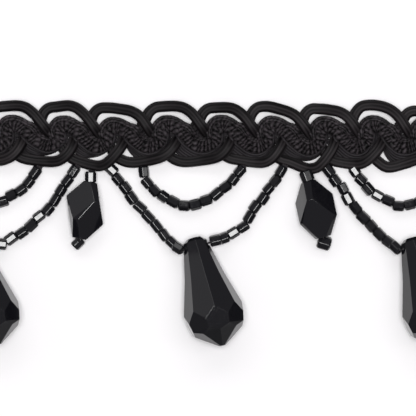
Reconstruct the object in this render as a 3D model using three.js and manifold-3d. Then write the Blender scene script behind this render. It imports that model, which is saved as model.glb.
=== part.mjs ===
// Beaded loop fringe trim: a gimp braid heading with strung seed beads and faceted drops,
// a cut length lying face up on a flat surface.
// X runs along the trim, +Y points to the heading, Z is up. Sizes are in millimetres.
// Places are given from the middle of the trim's length and from the heading's mid-line.
import * as THREE from "three";
import { ConvexGeometry } from "three/addons/geometries/ConvexGeometry.js";
import { mergeVertices } from "three/addons/utils/BufferGeometryUtils.js";
import Module from "manifold-3d";

// Driving dimensions
const CUT_LENGTH = 143;
const MIDLINE_UP = 17.63; // heading mid-line to the middle of the trim's width
const PITCH = 10.66; // one arch of the braid
const FIRST_SEAT = -75.15; // first seat between two top arches, left of the cut end
const SEED = { radius: 1.06, length: 2.08, thread: 0.36, bare: 0.25, spaced: 0.22 };
const CORD = { width: 2.04, height: 1.4, steps: 1.4 };
const ROPE = { width: 1.2, height: 1.25, steps: 1.15, apart: 1.58 };
const CROSSING_RISE = 1.95; // a cord clears the cord under it by about 0.3
const ROPE_RISE = 2.55; // underside of the ropes where they pass over a cord
const ROPE_SINK = 0.65; // how much the ropes settle at the crown and foot of each turn
const TEARDROP = { hole: 0.9, holeDown: 1.65, tip: 8, roll: 5, shave: 0.25, clear: 0.8 };
const SMALL_DROP = { length: 11.6, hole: 0.8, depth: 0.85, shave: 0.3, knot: 2, stem: 0.45, tail: 2.05 };
const THREAD_SHOWS = 0.1; // thread that shows between a bead and a drilled drop

// One satin cord over three pitches: it lies along a top arch, falls, lies along a lower arch and rises.
// along and across run from the seat where its top arch starts; over is 1 where it passes over a cord.
const CORD_RUN = [
  { along: -1.35, across: 1.6, over: 0 },
  { along: -0.05, across: 3.5, over: 0 },
  { along: 0.75, across: 4.9, over: 0 },
  { along: 1.95, across: 5.9, over: 0 },
  { along: 3.6, across: 6.25, over: 0 },
  { along: 6.1, across: 6.1, over: 0 },
  { along: 7.6, across: 5.6, over: 0.3 },
  { along: 8.85, across: 4.7, over: 0.97 },
  { along: 9.8, across: 3.65, over: 1 },
  { along: 10.8, across: 2.25, over: 1 },
  { along: 11.55, across: 1.3, over: 0.35 },
  { along: 12.2, across: 0.55, over: 0.05 },
  { along: 13.3, across: -0.6, over: 0 },
  { along: 14.25, across: -2.2, over: 0 },
  { along: 15.0, across: -3.6, over: 0 },
  { along: 16.15, across: -4.6, over: 0 },
  { along: 18.0, across: -5.2, over: 0 },
  { along: 21.6, across: -5.4, over: 0 },
  { along: 23.2, across: -5.05, over: 0.3 },
  { along: 24.4, across: -4.35, over: 0.97 },
  { along: 25.45, across: -3.3, over: 1 },
  { along: 26.4, across: -2.1, over: 1 },
  { along: 27.25, across: -1.1, over: 0.3 },
  { along: 27.95, across: -0.45, over: 0 },
  { along: 28.85, across: 0.2, over: 0 },
];

// The pair of ropes over one pitch, from a seat: up over a crown, down, and round a foot.
const ROPE_RUN = [
  { along: 2.75, across: 0.55, sink: 0 },
  { along: 2.95, across: 1.75, sink: 0 },
  { along: 3.75, across: 2.75, sink: 0.9 },
  { along: 4.95, across: 3.0, sink: 1 },
  { along: 6.15, across: 2.35, sink: 0.5 },
  { along: 7.9, across: 0.5, sink: 0 },
  { along: 9.6, across: -1.2, sink: 0.3 },
  { along: 11.1, across: -2.15, sink: 1 },
  { along: 12.4, across: -1.5, sink: 0.2 },
];

// How far the hand-laid braid strays from even: at each seat between top arches, at the crown of
// the arch after it, at the seat between lower arches half a pitch on, and at the arch after that.
const STRAY = [
  { seat: 0, crown: 0.1, footSeat: 0.4, foot: 0 },
  { seat: 0.1, crown: -0.1, footSeat: 0.3, foot: -0.3 },
  { seat: -0.1, crown: 0.05, footSeat: 0.6, foot: 0.2 },
  { seat: 0.1, crown: 0.15, footSeat: 1.0, foot: 0 },
  { seat: 0, crown: 0.25, footSeat: 0.75, foot: -0.45 },
  { seat: -0.33, crown: -0.15, footSeat: -0.2, foot: 0.4 },
  { seat: 0.35, crown: 0.1, footSeat: 0.3, foot: 0.5 },
  { seat: 0.85, crown: 0, footSeat: 0.85, foot: 0 },
  { seat: 0.15, crown: 0, footSeat: 0.6, foot: -0.65 },
  { seat: 0.5, crown: -0.5, footSeat: 1.0, foot: 0.1 },
  { seat: 0.15, crown: 0.3, footSeat: -0.3, foot: -0.4 },
  { seat: 0, crown: -0.4, footSeat: 0.2, foot: 0.2 },
  { seat: 0.2, crown: 0, footSeat: 0.4, foot: 0 },
  { seat: 0, crown: 0.1, footSeat: 0.2, foot: -0.2 },
  { seat: 0.1, crown: 0, footSeat: 0.3, foot: 0 },
];

// Bead loops that hang between two places on the heading, from end to end.
const SCALLOPS = [
  [
    { along: -53.0, down: 7.1 },
    { along: -52.4, down: 10.0 },
    { along: -49.4, down: 12.8 },
    { along: -45.2, down: 14.2 },
    { along: -40.6, down: 13.2 },
    { along: -36.7, down: 10.95 },
    { along: -34.2, down: 8.7 },
    { along: -32.95, down: 6.95 },
  ],
  [
    { along: -10.95, down: 6.5 },
    { along: -10.55, down: 9.5 },
    { along: -7.2, down: 12.6 },
    { along: -2.9, down: 14.15 },
    { along: 1.5, down: 12.95 },
    { along: 5.6, down: 10.2 },
    { along: 8.0, down: 7.85 },
    { along: 8.95, down: 6.95 },
  ],
  [
    { along: 31.4, down: 7.0 },
    { along: 33.7, down: 9.35 },
    { along: 37.3, down: 12.35 },
    { along: 41.2, down: 13.95 },
    { along: 45.3, down: 13.4 },
    { along: 49.2, down: 10.9 },
    { along: 51.6, down: 8.4 },
    { along: 52.3, down: 6.85 },
  ],
];

// Faceted teardrops, each placed by the middle of its drilled hole, and the two arms of beads that
// carry it, each from its place on the heading to the last row before the hole.
const TEARDROPS = [
  {
    hole: { along: -46.2, down: 22.15 },
    lean: 14.8,
    beads: { left: 10, right: 11 },
    left: [
      { along: -62.15, down: 6.55 },
      { along: -60.2, down: 8.9 },
      { along: -56.9, down: 13.6 },
      { along: -53.0, down: 18.3 },
    ],
    right: [
      { along: -39.0, down: 21.55 },
      { along: -33.9, down: 17.6 },
      { along: -29.4, down: 12.6 },
      { along: -26.4, down: 8.3 },
      { along: -24.8, down: 7.06 },
    ],
  },
  {
    hole: { along: -0.5, down: 22.35 },
    lean: 15,
    beads: { left: 10, right: 10 },
    left: [
      { along: -18.7, down: 5.95 },
      { along: -16.55, down: 8.3 },
      { along: -13.3, down: 12.9 },
      { along: -7.6, down: 19.3 },
    ],
    right: [
      { along: 5.6, down: 20.75 },
      { along: 9.5, down: 17.9 },
      { along: 12.9, down: 12.9 },
      { along: 15.6, down: 8.5 },
      { along: 17.15, down: 6.9 },
    ],
  },
  {
    hole: { along: 44.0, down: 22.35 },
    lean: 15.4,
    beads: { left: 10, right: 10 },
    left: [
      { along: 25.6, down: 6.3 },
      { along: 28.1, down: 9.1 },
      { along: 31.7, down: 14.6 },
      { along: 38.1, down: 20.55 },
    ],
    right: [
      { along: 50.2, down: 20.6 },
      { along: 54.3, down: 17.1 },
      { along: 57.8, down: 12.3 },
      { along: 60.6, down: 8.3 },
      { along: 61.95, down: 7.05 },
    ],
  },
];

// Rings of a teardrop's cut along its axis from the neck; turn counts half facets.
const TEARDROP_RINGS = [
  { at: 0, radius: 1.6, turn: 0 },
  { at: 0.7, radius: 2.4, turn: 0 },
  { at: 8.2, radius: 4.15, turn: 0 },
  { at: 15.1, radius: 6.15, turn: 0 },
  { at: 17.2, radius: 6.2, turn: 1 },
  { at: 19.1, radius: 5.75, turn: 1 },
  { at: 19.9, radius: 4.95, turn: 2 },
  { at: 22.85, radius: 0.6, turn: 2 },
];

// Skew-cut small drops, each placed by the middle of its top, with the thread that carries it.
// turn sets which corner of the upper girdle faces up, in degrees.
const SMALL_DROPS = [
  { top: { along: -64.8, down: 9.8 }, from: { along: -65.1, down: 6.85 }, lean: 8, turn: 100 },
  { top: { along: -21.9, down: 9.6 }, from: { along: -21.9, down: 7.2 }, lean: -11.5, turn: 184 },
  { top: { along: 22.5, down: 9.65 }, from: { along: 21.85, down: 7.4 }, lean: 15.1, turn: 97 },
  { top: { along: 64.6, down: 9.9 }, from: { along: 64.7, down: 6.9 }, lean: -9, turn: 186 },
];
const SMALL_DROP_RINGS = [
  { at: 0, radius: 1.5, corners: 6, turn: 0 },
  { at: 0.3, radius: 4.4, corners: 3, turn: 0 },
  { at: 0.68, radius: 4.45, corners: 3, turn: 60 },
  { at: 1, radius: 1.65, corners: 6, turn: 0 },
];

const SATIN = new THREE.MeshStandardMaterial({ color: 0x1b191b, roughness: 0.55, metalness: 0 });
const TWISTED = new THREE.MeshStandardMaterial({ color: 0x161416, roughness: 0.7, metalness: 0 });
const GLASS = new THREE.MeshStandardMaterial({ color: 0x0c0b0d, roughness: 0.12, metalness: 0 });
const ACRYLIC = new THREE.MeshStandardMaterial({ color: 0x08080a, roughness: 0.1, metalness: 0 });

const DEGREE = Math.PI / 180;
const wasm = await Module();
wasm.setup();

// A route in plan through its rows, with heights that ease from row to row and never overshoot.
class Route extends THREE.Curve {
  constructor(rows) {
    super();
    this.rows = rows;
    this.arcLengthDivisions = rows.length * 24;
    const plan = rows.map((row) => new THREE.Vector3(row.x, row.y, 0));
    this.plan = new THREE.CatmullRomCurve3(plan, false, "centripetal");
  }

  getPoint(t, target = new THREE.Vector3()) {
    const last = this.rows.length - 1;
    const row = Math.min(Math.floor(t * last), last - 1);
    const ease = THREE.MathUtils.smoothstep(t * last - row, 0, 1);
    this.plan.getPoint(t, target);
    target.z = THREE.MathUtils.lerp(this.rows[row].z, this.rows[row + 1].z, ease);
    return target;
  }

  // Length of the route from its start to one of its rows.
  lengthTo(row) {
    const t = row / (this.rows.length - 1);
    return this.getLengths()[Math.round(t * this.arcLengthDivisions)];
  }
}

// Bends a straight solid, whose length runs along Z and whose up is Y, to follow a route.
function bend(geometry, route, length) {
  const place = geometry.getAttribute("position");
  const vertical = new THREE.Vector3(0, 0, 1);
  for (let i = 0; i < place.count; i += 1) {
    const share = THREE.MathUtils.clamp(place.getZ(i) / length, 0, 1);
    const centre = route.getPointAt(share);
    const ahead = route.getTangentAt(share);
    const side = new THREE.Vector3().crossVectors(vertical, ahead).normalize();
    const up = new THREE.Vector3().crossVectors(ahead, side).normalize();
    centre.addScaledVector(side, place.getX(i)).addScaledVector(up, place.getY(i));
    place.setXYZ(i, centre.x, centre.y, centre.z);
  }
  return geometry;
}

// A soft cord pressed flat below and nearly flat on top, standing on its route.
function cordSection(size) {
  const flat = size.width * 0.26;
  const wide = size.width * 0.5;
  const corners = [
    new THREE.Vector2(-flat, 0),
    new THREE.Vector2(flat, 0),
    new THREE.Vector2(wide, size.height * 0.45),
    new THREE.Vector2(flat, size.height),
    new THREE.Vector2(-flat, size.height),
    new THREE.Vector2(-wide, size.height * 0.45),
  ];
  return new THREE.Shape(corners);
}

function cord(route, size, sideways = 0) {
  const length = route.getLength();
  const section = cordSection(size);
  const steps = Math.round(length / size.steps);
  const straight = new THREE.ExtrudeGeometry(section, { depth: length, steps, bevelEnabled: false });
  straight.translate(sideways, 0, 0);
  return bend(straight, route, length);
}

// Seed beads on a thread as one turned solid: each row of beads fills its stretch evenly.
function beadStrand(route, stretches) {
  const length = route.getLength();
  const profile = [new THREE.Vector2(0, 0), new THREE.Vector2(SEED.thread, 0)];
  for (const stretch of stretches) {
    const pitch = (stretch.end - stretch.start) / stretch.beads;
    const half = Math.min(SEED.length, pitch - SEED.spaced) / 2;
    for (let bead = 0; bead < stretch.beads; bead += 1) {
      const middle = stretch.start + (bead + 0.5) * pitch;
      profile.push(new THREE.Vector2(SEED.thread, middle - pitch / 2));
      profile.push(new THREE.Vector2(SEED.radius, middle - half));
      profile.push(new THREE.Vector2(SEED.radius, middle + half));
    }
    profile.push(new THREE.Vector2(SEED.thread, stretch.end));
  }
  profile.push(new THREE.Vector2(SEED.thread, length), new THREE.Vector2(0, length));
  const turned = new THREE.LatheGeometry(profile, 6, 0);
  turned.rotateX(Math.PI / 2);
  turned.rotateZ(Math.PI / 6);
  return bend(turned, route, length);
}

// Seeds lie on a flat of their six sides, so their middle is this high.
const SEED_REST = SEED.radius * Math.cos(Math.PI / 6);

function onSurface(row) {
  return { x: row.along, y: -row.down, z: SEED_REST };
}

// manifold-3d solids from closed geometries, and back.
function solidOf(geometry) {
  const bare = new THREE.BufferGeometry();
  bare.setAttribute("position", geometry.getAttribute("position"));
  if (geometry.index) bare.setIndex(geometry.index);
  const merged = mergeVertices(bare, 1e-4);
  const mesh = new wasm.Mesh({
    numProp: 3,
    vertProperties: merged.getAttribute("position").array,
    triVerts: new Uint32Array(merged.index.array),
  });
  return new wasm.Manifold(mesh);
}

function geometryOf(solid) {
  const mesh = solid.getMesh();
  const geometry = new THREE.BufferGeometry();
  geometry.setAttribute("position", new THREE.BufferAttribute(mesh.vertProperties, 3));
  geometry.setIndex(new THREE.BufferAttribute(mesh.triVerts, 1));
  geometry.computeVertexNormals();
  return geometry;
}

// The stretch of surface under the trim, taken off what lies on it to leave it a flat to rest on.
function surfaceUnder(shave) {
  const deep = 20;
  const slab = new THREE.BoxGeometry(CUT_LENGTH * 2, CUT_LENGTH * 2, deep);
  slab.translate(0, 0, shave - deep / 2);
  return solidOf(slab);
}

// Middle of the trim's own wander along and across, from the table of strays.
function strayAt(along, column, half) {
  const place = THREE.MathUtils.clamp((along - FIRST_SEAT) / PITCH - half, 0, STRAY.length - 1.001);
  const row = Math.floor(place);
  const ease = THREE.MathUtils.smoothstep(place - row, 0, 1);
  return THREE.MathUtils.lerp(STRAY[row][column], STRAY[row + 1][column], ease);
}

const TOP_RUN = 6.15; // how far the cords' middle runs above the mid-line
const FOOT_RUN = 5.4; // and below it

function strayed(along, across) {
  const top = THREE.MathUtils.clamp((across + FOOT_RUN) / (TOP_RUN + FOOT_RUN), 0, 1);
  const moved = top * strayAt(along, "seat", 0) + (1 - top) * strayAt(along, "footSeat", 0.5);
  const crown = top ** 3 * strayAt(along, "crown", 0.5);
  const foot = (1 - top) ** 3 * strayAt(along, "foot", 1);
  return { x: along + moved, y: across + crown + foot };
}

// Rows of a run repeated from the first seat past both cut ends.
function repeated(run, firstSeat, every, height) {
  const rows = [];
  for (let seat = firstSeat; seat < CUT_LENGTH / 2 + every; seat += every) {
    for (const row of run) {
      const along = seat + row.along;
      rows.push({ ...strayed(along, row.across), z: height(row) });
    }
  }
  const reach = CUT_LENGTH / 2 + PITCH / 2;
  return rows.filter((row) => Math.abs(row.x) < reach);
}

// Cuts the braid's cords flush at both ends of the length.
function cutToLength(geometry) {
  const block = new THREE.BoxGeometry(CUT_LENGTH, CUT_LENGTH, CUT_LENGTH);
  return geometryOf(solidOf(geometry).intersect(solidOf(block)));
}

function loft(rings, corners) {
  const points = [];
  const faces = [];
  rings.forEach((ring, level) => {
    for (let k = 0; k < corners; k += 1) {
      const angle = Math.PI / 2 + ((k + ring.turn / 2) * 2 * Math.PI) / corners;
      points.push(Math.cos(angle) * ring.radius, -ring.at, Math.sin(angle) * ring.radius);
      if (level === 0) continue;
      const above = (level - 1) * corners;
      const here = level * corners;
      const next = (k + 1) % corners;
      faces.push(above + k, above + next, here + k);
      faces.push(here + k, above + next, here + next);
    }
  });
  const last = (rings.length - 1) * corners;
  for (let k = 1; k < corners - 1; k += 1) {
    faces.push(0, k + 1, k);
    faces.push(last, last + k, last + k + 1);
  }
  const geometry = new THREE.BufferGeometry();
  geometry.setAttribute("position", new THREE.Float32BufferAttribute(points, 3));
  geometry.setIndex(faces);
  return geometry;
}

const trim = new THREE.Group();
trim.position.y = MIDLINE_UP;

function add(name, geometry, material) {
  const mesh = new THREE.Mesh(geometry, material);
  mesh.name = name;
  trim.add(mesh);
}

// Three satin cords braid with each other, each one pitch behind the last.
for (let strand = 0; strand < 3; strand += 1) {
  const firstSeat = FIRST_SEAT + (strand - 3) * PITCH;
  const rows = repeated(CORD_RUN, firstSeat, 3 * PITCH, (row) => row.over * CROSSING_RISE);
  add(`satin_cord_${strand + 1}`, cutToLength(cord(new Route(rows), CORD)), SATIN);
}

// Two ropes side by side wind over the cords.
const ropeRows = repeated(ROPE_RUN, FIRST_SEAT - PITCH, PITCH, (row) => ROPE_RISE - row.sink * ROPE_SINK);
[-1, 1].forEach((side, index) => {
  const sideways = (side * ROPE.apart) / 2;
  add(`scroll_rope_${index + 1}`, cutToLength(cord(new Route(ropeRows), ROPE, sideways)), TWISTED);
});

// Scallops: one loop of beads each.
const SCALLOP_BEADS = 12;
SCALLOPS.forEach((scallop, index) => {
  const route = new Route(scallop.map(onSurface));
  const stretch = { start: SEED.bare, end: route.getLength() - SEED.bare, beads: SCALLOP_BEADS };
  add(`scallop_strand_${index + 1}`, beadStrand(route, [stretch]), GLASS);
});

// A teardrop rests on its belly, its neck held up a little by the beads.
const neckRing = TEARDROP_RINGS[1];

TEARDROPS.forEach((drop, index) => {
  const lying = new THREE.Matrix4().makeRotationY(TEARDROP.roll * DEGREE);
  lying.premultiply(new THREE.Matrix4().makeRotationX(-TEARDROP.tip * DEGREE));
  lying.premultiply(new THREE.Matrix4().makeRotationZ(drop.lean * DEGREE));
  const body = loft(TEARDROP_RINGS, 8).applyMatrix4(lying);
  body.computeBoundingBox();
  const hole = new THREE.Vector3(0, -TEARDROP.holeDown, 0).applyMatrix4(lying);
  const middle = new THREE.Vector3(
    drop.hole.along,
    -drop.hole.down,
    hole.z - body.boundingBox.min.z - TEARDROP.shave,
  );
  const move = middle.clone().sub(hole);
  body.translate(move.x, move.y, move.z);
  const bore = new THREE.CylinderGeometry(TEARDROP.hole, TEARDROP.hole, 12, 10);
  bore.rotateZ(Math.PI / 2 + drop.lean * DEGREE).translate(middle.x, middle.y, middle.z);
  const cut = solidOf(body).subtract(solidOf(bore)).subtract(surfaceUnder(0));
  add(`teardrop_${index + 1}`, geometryOf(cut), ACRYLIC);

  const half = neckRing.radius + TEARDROP.clear;
  const across = new THREE.Vector3(Math.cos(drop.lean * DEGREE), Math.sin(drop.lean * DEGREE), 0);
  const entry = middle.clone().addScaledVector(across, -half);
  const exit = middle.clone().addScaledVector(across, half);
  const rows = [...drop.left.map(onSurface), entry, middle, exit, ...drop.right.map(onSurface)];
  const route = new Route(rows);
  const entryRow = drop.left.length;
  const inner = route.lengthTo(entryRow) - THREAD_SHOWS;
  const outer = route.lengthTo(entryRow + 2) + THREAD_SHOWS;
  const left = { start: SEED.bare, end: inner, beads: drop.beads.left };
  const right = { start: outer, end: route.getLength() - SEED.bare, beads: drop.beads.right };
  add(`swag_strand_${index + 1}`, beadStrand(route, [left, right]), GLASS);
});

function skewCutPoints(turn) {
  const points = [];
  for (const ring of SMALL_DROP_RINGS) {
    for (let k = 0; k < ring.corners; k += 1) {
      const angle = (turn + ring.turn + (k * 360) / ring.corners) * DEGREE;
      const high = Math.sin(angle) * ring.radius * SMALL_DROP.depth;
      points.push(new THREE.Vector3(Math.cos(angle) * ring.radius, -ring.at * SMALL_DROP.length, high));
    }
  }
  return points;
}

SMALL_DROPS.forEach((drop, index) => {
  const points = skewCutPoints(drop.turn);
  const lowest = Math.min(...points.map((point) => point.z));
  const lying = new THREE.Matrix4().makeRotationZ(drop.lean * DEGREE);
  lying.setPosition(drop.top.along, -drop.top.down, -lowest - SMALL_DROP.shave);
  const body = new ConvexGeometry(points.map((point) => point.applyMatrix4(lying)));
  const bore = new THREE.CylinderGeometry(SMALL_DROP.hole, SMALL_DROP.hole, SMALL_DROP.length * 2, 8);
  bore.translate(0, -SMALL_DROP.length / 2, 0).applyMatrix4(lying);
  const cut = solidOf(body).subtract(solidOf(bore)).subtract(surfaceUnder(0));
  add(`small_drop_${index + 1}`, geometryOf(cut), ACRYLIC);

  const along = (down) => new THREE.Vector3(0, -down, 0).applyMatrix4(lying);
  const start = { x: drop.from.along, y: -drop.from.down, z: SMALL_DROP.knot };
  const bored = [along(-SMALL_DROP.stem), along(SMALL_DROP.length / 2), along(SMALL_DROP.length)];
  const rows = [start, ...bored, along(SMALL_DROP.length + SMALL_DROP.tail)];
  const route = new Route(rows);
  const topBead = { start: THREAD_SHOWS, end: route.lengthTo(1), beads: 1 };
  const endBead = {
    start: route.lengthTo(3) + SEED.bare,
    end: route.getLength() - THREAD_SHOWS,
    beads: 1,
  };
  add(`drop_strand_${index + 1}`, beadStrand(route, [topBead, endBead]), GLASS);
});

export default trim;
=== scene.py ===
import math
import random
from contextlib import contextmanager

import bmesh
import bpy
import numpy as np
from mathutils import Matrix, Vector


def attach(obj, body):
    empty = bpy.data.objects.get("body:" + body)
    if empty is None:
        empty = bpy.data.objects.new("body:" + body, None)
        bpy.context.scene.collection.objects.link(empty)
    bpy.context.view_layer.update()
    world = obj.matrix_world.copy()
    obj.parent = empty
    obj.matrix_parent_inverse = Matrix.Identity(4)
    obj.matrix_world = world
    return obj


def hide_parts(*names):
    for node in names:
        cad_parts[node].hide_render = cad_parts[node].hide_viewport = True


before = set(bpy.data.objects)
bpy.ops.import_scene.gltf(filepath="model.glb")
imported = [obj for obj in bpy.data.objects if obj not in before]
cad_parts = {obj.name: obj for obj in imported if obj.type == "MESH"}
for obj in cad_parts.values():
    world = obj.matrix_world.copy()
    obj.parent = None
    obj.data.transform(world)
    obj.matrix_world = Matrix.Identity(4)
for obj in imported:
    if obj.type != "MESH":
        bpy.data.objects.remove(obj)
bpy.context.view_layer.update()  # +X along the trim, +Y towards the heading, +Z up from the surface it lies on
print("frame loaded:", len(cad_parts), "nodes")

mm = 0.001
midlineUp = 17.63  # heading mid-line above the middle of the footprint, mm
cutLength = 143.0


def placed(name, data):
    thing = bpy.data.objects.new(name, data)
    bpy.context.scene.collection.objects.link(thing)
    return thing


# Camera, lights and floor
photo = {"pixels": 416, "mmPerPixel": 0.205, "middle": (1.95, 3.08), "lens": 400, "focusUp": 2.0}


def addCamera():
    across = photo["pixels"] * photo["mmPerPixel"] * mm
    data = bpy.data.cameras.new("camera")
    data.lens = photo["lens"]
    data.sensor_width = 36
    data.clip_start = 0.01
    data.clip_end = 20
    camera = placed("camera", data)
    height = across * data.lens / data.sensor_width
    x, y = photo["middle"]
    camera.location = (x * mm, y * mm, height + photo["focusUp"] * mm)
    bpy.context.scene.camera = camera


softboxes = [  # turned from +X, raised from the floor, degrees
    {"name": "overhead", "turn": 90, "raise": 90, "away": 1.3, "size": (0.42, 0.42), "brightness": 22},
    {"name": "backPanel", "turn": 95, "raise": 45, "away": 1.2, "size": (1.0, 0.35), "brightness": 2.0},
    {"name": "leftPanel", "turn": 150, "raise": 18, "away": 0.8, "size": (0.55, 0.52), "brightness": 0.35},
    {"name": "rightPanel", "turn": 20, "raise": 62, "away": 1.1, "size": (0.2, 0.5), "brightness": 3.0},
]


def addLights():
    for box in softboxes:
        data = bpy.data.lights.new(box["name"], "AREA")
        data.shape = "RECTANGLE"
        data.size, data.size_y = box["size"]
        data.energy = box["brightness"] * math.pi * data.size * data.size_y
        light = placed(box["name"], data)
        turn, rise = math.radians(box["turn"]), math.radians(box["raise"])
        out = Vector((math.cos(rise) * math.cos(turn), math.cos(rise) * math.sin(turn), math.sin(rise)))
        light.location = out * box["away"]
        light.rotation_euler = (-out).to_track_quat("-Z", "Y").to_euler()
        light.visible_camera = False


room = {  # seen: the backdrop; levels: at the horizon, part of the way up and overhead
    "seen": (0.93, 0.93, 0.94), "tint": (1.0, 0.97, 1.0), "levels": (0.14, 0.26, 0.2), "partWay": 0.62,
}


def addRoom():
    world = bpy.data.worlds.new("room")
    world.use_nodes = True
    tree = world.node_tree
    tree.nodes.clear()
    place = addNode(tree, "ShaderNodeTexCoord").outputs["Generated"]
    ramp = addNode(tree, "ShaderNodeValToRGB", {0: partsOf(tree, place)[2]})
    ramp.color_ramp.elements.new(room["partWay"])
    for element, level in zip(ramp.color_ramp.elements, room["levels"]):
        element.color = (level, level, level, 1)
    lit = addNode(tree, "ShaderNodeBackground", {"Color": (*room["tint"], 1), "Strength": ramp.outputs[0]})
    seen = addNode(tree, "ShaderNodeBackground", {"Color": (*room["seen"], 1)})
    direct = addNode(tree, "ShaderNodeLightPath").outputs["Is Camera Ray"]
    blend = addNode(tree, "ShaderNodeMixShader", {0: direct, 1: lit.outputs[0], 2: seen.outputs[0]})
    addNode(tree, "ShaderNodeOutputWorld", {"Surface": blend.outputs[0]})
    bpy.context.scene.world = world
    bpy.context.scene.view_settings.view_transform = "Standard"


# Helpers for node trees
class Amount:  # a socket that can be added and multiplied, with one Math node for each step
    def __init__(self, tree, socket):
        self.tree = tree
        self.socket = socket

    def step(self, operation, *others):
        node = self.tree.nodes.new("ShaderNodeMath")
        node.operation = operation
        for slot, other in enumerate((self, *others)):
            plug(self.tree, other, node.inputs[slot])
        return Amount(self.tree, node.outputs[0])

    def __add__(self, other):
        return self.step("ADD", other)

    def __sub__(self, other):
        return self.step("SUBTRACT", other)

    def __mul__(self, other):
        return self.step("MULTIPLY", other)

    def __truediv__(self, other):
        return self.step("DIVIDE", other)


def plug(tree, value, socket):
    if isinstance(value, Amount):
        value = value.socket
    if isinstance(value, bpy.types.NodeSocket):
        tree.links.new(value, socket)
    else:
        socket.default_value = value


def addNode(tree, kind, inputs=None, **settings):
    node = tree.nodes.new(kind)
    for name, value in settings.items():
        setattr(node, name, value)
    for name, value in (inputs or {}).items():
        plug(tree, value, node.inputs[name])
    return node


def partsOf(tree, vector):
    split = addNode(tree, "ShaderNodeSeparateXYZ", {0: vector})
    return [Amount(tree, socket) for socket in split.outputs]


def vectorOf(tree, x, y, z):
    return addNode(tree, "ShaderNodeCombineXYZ", {0: x, 1: y, 2: z}).outputs[0]


def scaled(tree, vector, scale):
    node = addNode(tree, "ShaderNodeVectorMath", {0: vector, "Scale": scale}, operation="SCALE")
    return node.outputs[0]


def positionOf(tree):
    return addNode(tree, "GeometryNodeInputPosition").outputs[0]


def kept(tree, name, kind="FLOAT"):
    return addNode(tree, "GeometryNodeInputNamedAttribute", {"Name": name}, data_type=kind).outputs[0]


def keep(tree, geometry, name, value, kind="FLOAT"):
    inputs = {"Geometry": geometry, "Name": name, "Value": value}
    return addNode(tree, "GeometryNodeStoreNamedAttribute", inputs, data_type=kind).outputs[0]


def unevenness(tree, run, fineness):  # slow noise along a run, about 0
    inputs = {"W": run * fineness, "Scale": 1.0, "Detail": 1.0}
    return Amount(tree, addNode(tree, "ShaderNodeTexNoise", inputs, noise_dimensions="1D").outputs[0]) - 0.5


def newGroup(name, kind, inputs, outputs):
    tree = bpy.data.node_groups.new(name, kind)
    for side, sockets in {"INPUT": inputs, "OUTPUT": outputs}.items():
        for label, socket in sockets.items():
            tree.interface.new_socket(label, in_out=side, socket_type="NodeSocket" + socket)
    return tree, tree.nodes.new("NodeGroupInput").outputs


def newGeometryTree(name, sizes):
    inputs = {"Geometry": "Geometry", **sizes, "Material": "Material"}
    return newGroup(name, "GeometryNodeTree", inputs, {"Geometry": "Geometry"})


def endTree(tree, geometry, given, smooth=True):
    shaded = addNode(tree, "GeometryNodeSetShadeSmooth", {"Geometry": geometry, "Shade Smooth": smooth})
    real = addNode(tree, "GeometryNodeRealizeInstances", {"Geometry": shaded.outputs[0]})
    inputs = {"Geometry": real.outputs[0], "Material": given["Material"]}
    painted = addNode(tree, "GeometryNodeSetMaterial", inputs)
    addNode(tree, "NodeGroupOutput", {0: painted.outputs[0]})


def asMesh(holder, name):
    bpy.context.view_layer.update()
    evaluated = holder.evaluated_get(bpy.context.evaluated_depsgraph_get())
    mesh = bpy.data.meshes.new_from_object(evaluated)
    mesh.name = name
    bpy.data.objects.remove(holder)
    return mesh


def grown(name, mesh, tree, values):
    holder = placed(name + "Holder", mesh)
    modifier = holder.modifiers.new("grow", "NODES")
    modifier.node_group = tree
    for item in tree.interface.items_tree:
        if item.in_out == "INPUT" and item.name in values:
            modifier[item.identifier] = values[item.name]
    return asMesh(holder, name)


def addPiece(name, mesh, replaced=()):
    piece = placed(name, mesh)
    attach(piece, "root")
    if replaced:
        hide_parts(*replaced)


def pointMesh(name, points, edges, marks):  # marks: a number or a vector for each point
    mesh = bpy.data.meshes.new(name)
    mesh.from_pydata([tuple(p * mm) for p in np.asarray(points, float)], edges, [])
    for label, values in marks.items():
        values = np.asarray(values, np.float32)
        kind, field = ("FLOAT", "value") if values.ndim == 1 else ("FLOAT_VECTOR", "vector")
        mesh.attributes.new(label, kind, "POINT").data.foreach_set(field, values.ravel())
    return mesh


def lineMesh(name, points, marks=None):
    return pointMesh(name, points, [(i, i + 1) for i in range(len(points) - 1)], marks or {})


def meshFrom(soft, name):
    mesh = bpy.data.meshes.new(name)
    soft.to_mesh(mesh)
    soft.free()
    return mesh


@contextmanager
def edited(mesh):
    soft = bmesh.new()
    soft.from_mesh(mesh)
    yield soft
    soft.to_mesh(mesh)
    soft.free()


# Routes, in mm
rowSteps = 12


def routeThrough(rows, finer=rowSteps):  # smooth in plan, with no overshoot in height or in later columns
    rows = np.asarray(rows, float)
    whole = np.vstack([2 * rows[0] - rows[1], rows, 2 * rows[-1] - rows[-2]])
    steps = np.diff(whole, axis=0)
    spans = np.maximum(np.linalg.norm(steps[:, :2], axis=1), 1e-6)[:, None] ** 0.5
    rates = steps / spans
    before, after = rates[:-1], rates[1:]
    slopes = before + after - (steps[:-1] + steps[1:]) / (spans[:-1] + spans[1:])
    turning = before * after <= 0
    easy = np.where(turning, 0, 2 * before * after / np.where(turning, 1, before + after))
    slopes[:, 2:] = easy[:, 2:]
    t = (np.arange(finer) / finer)[None, :, None]
    a, b = rows[:-1, None], rows[1:, None]
    start, end = (slopes[:-1] * spans[1:-1])[:, None], (slopes[1:] * spans[1:-1])[:, None]
    made = a + start * t + (3 * (b - a) - 2 * start - end) * t**2 + (2 * (a - b) + start + end) * t**3
    return np.vstack([made.reshape(-1, rows.shape[1]), rows[-1:]])


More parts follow.
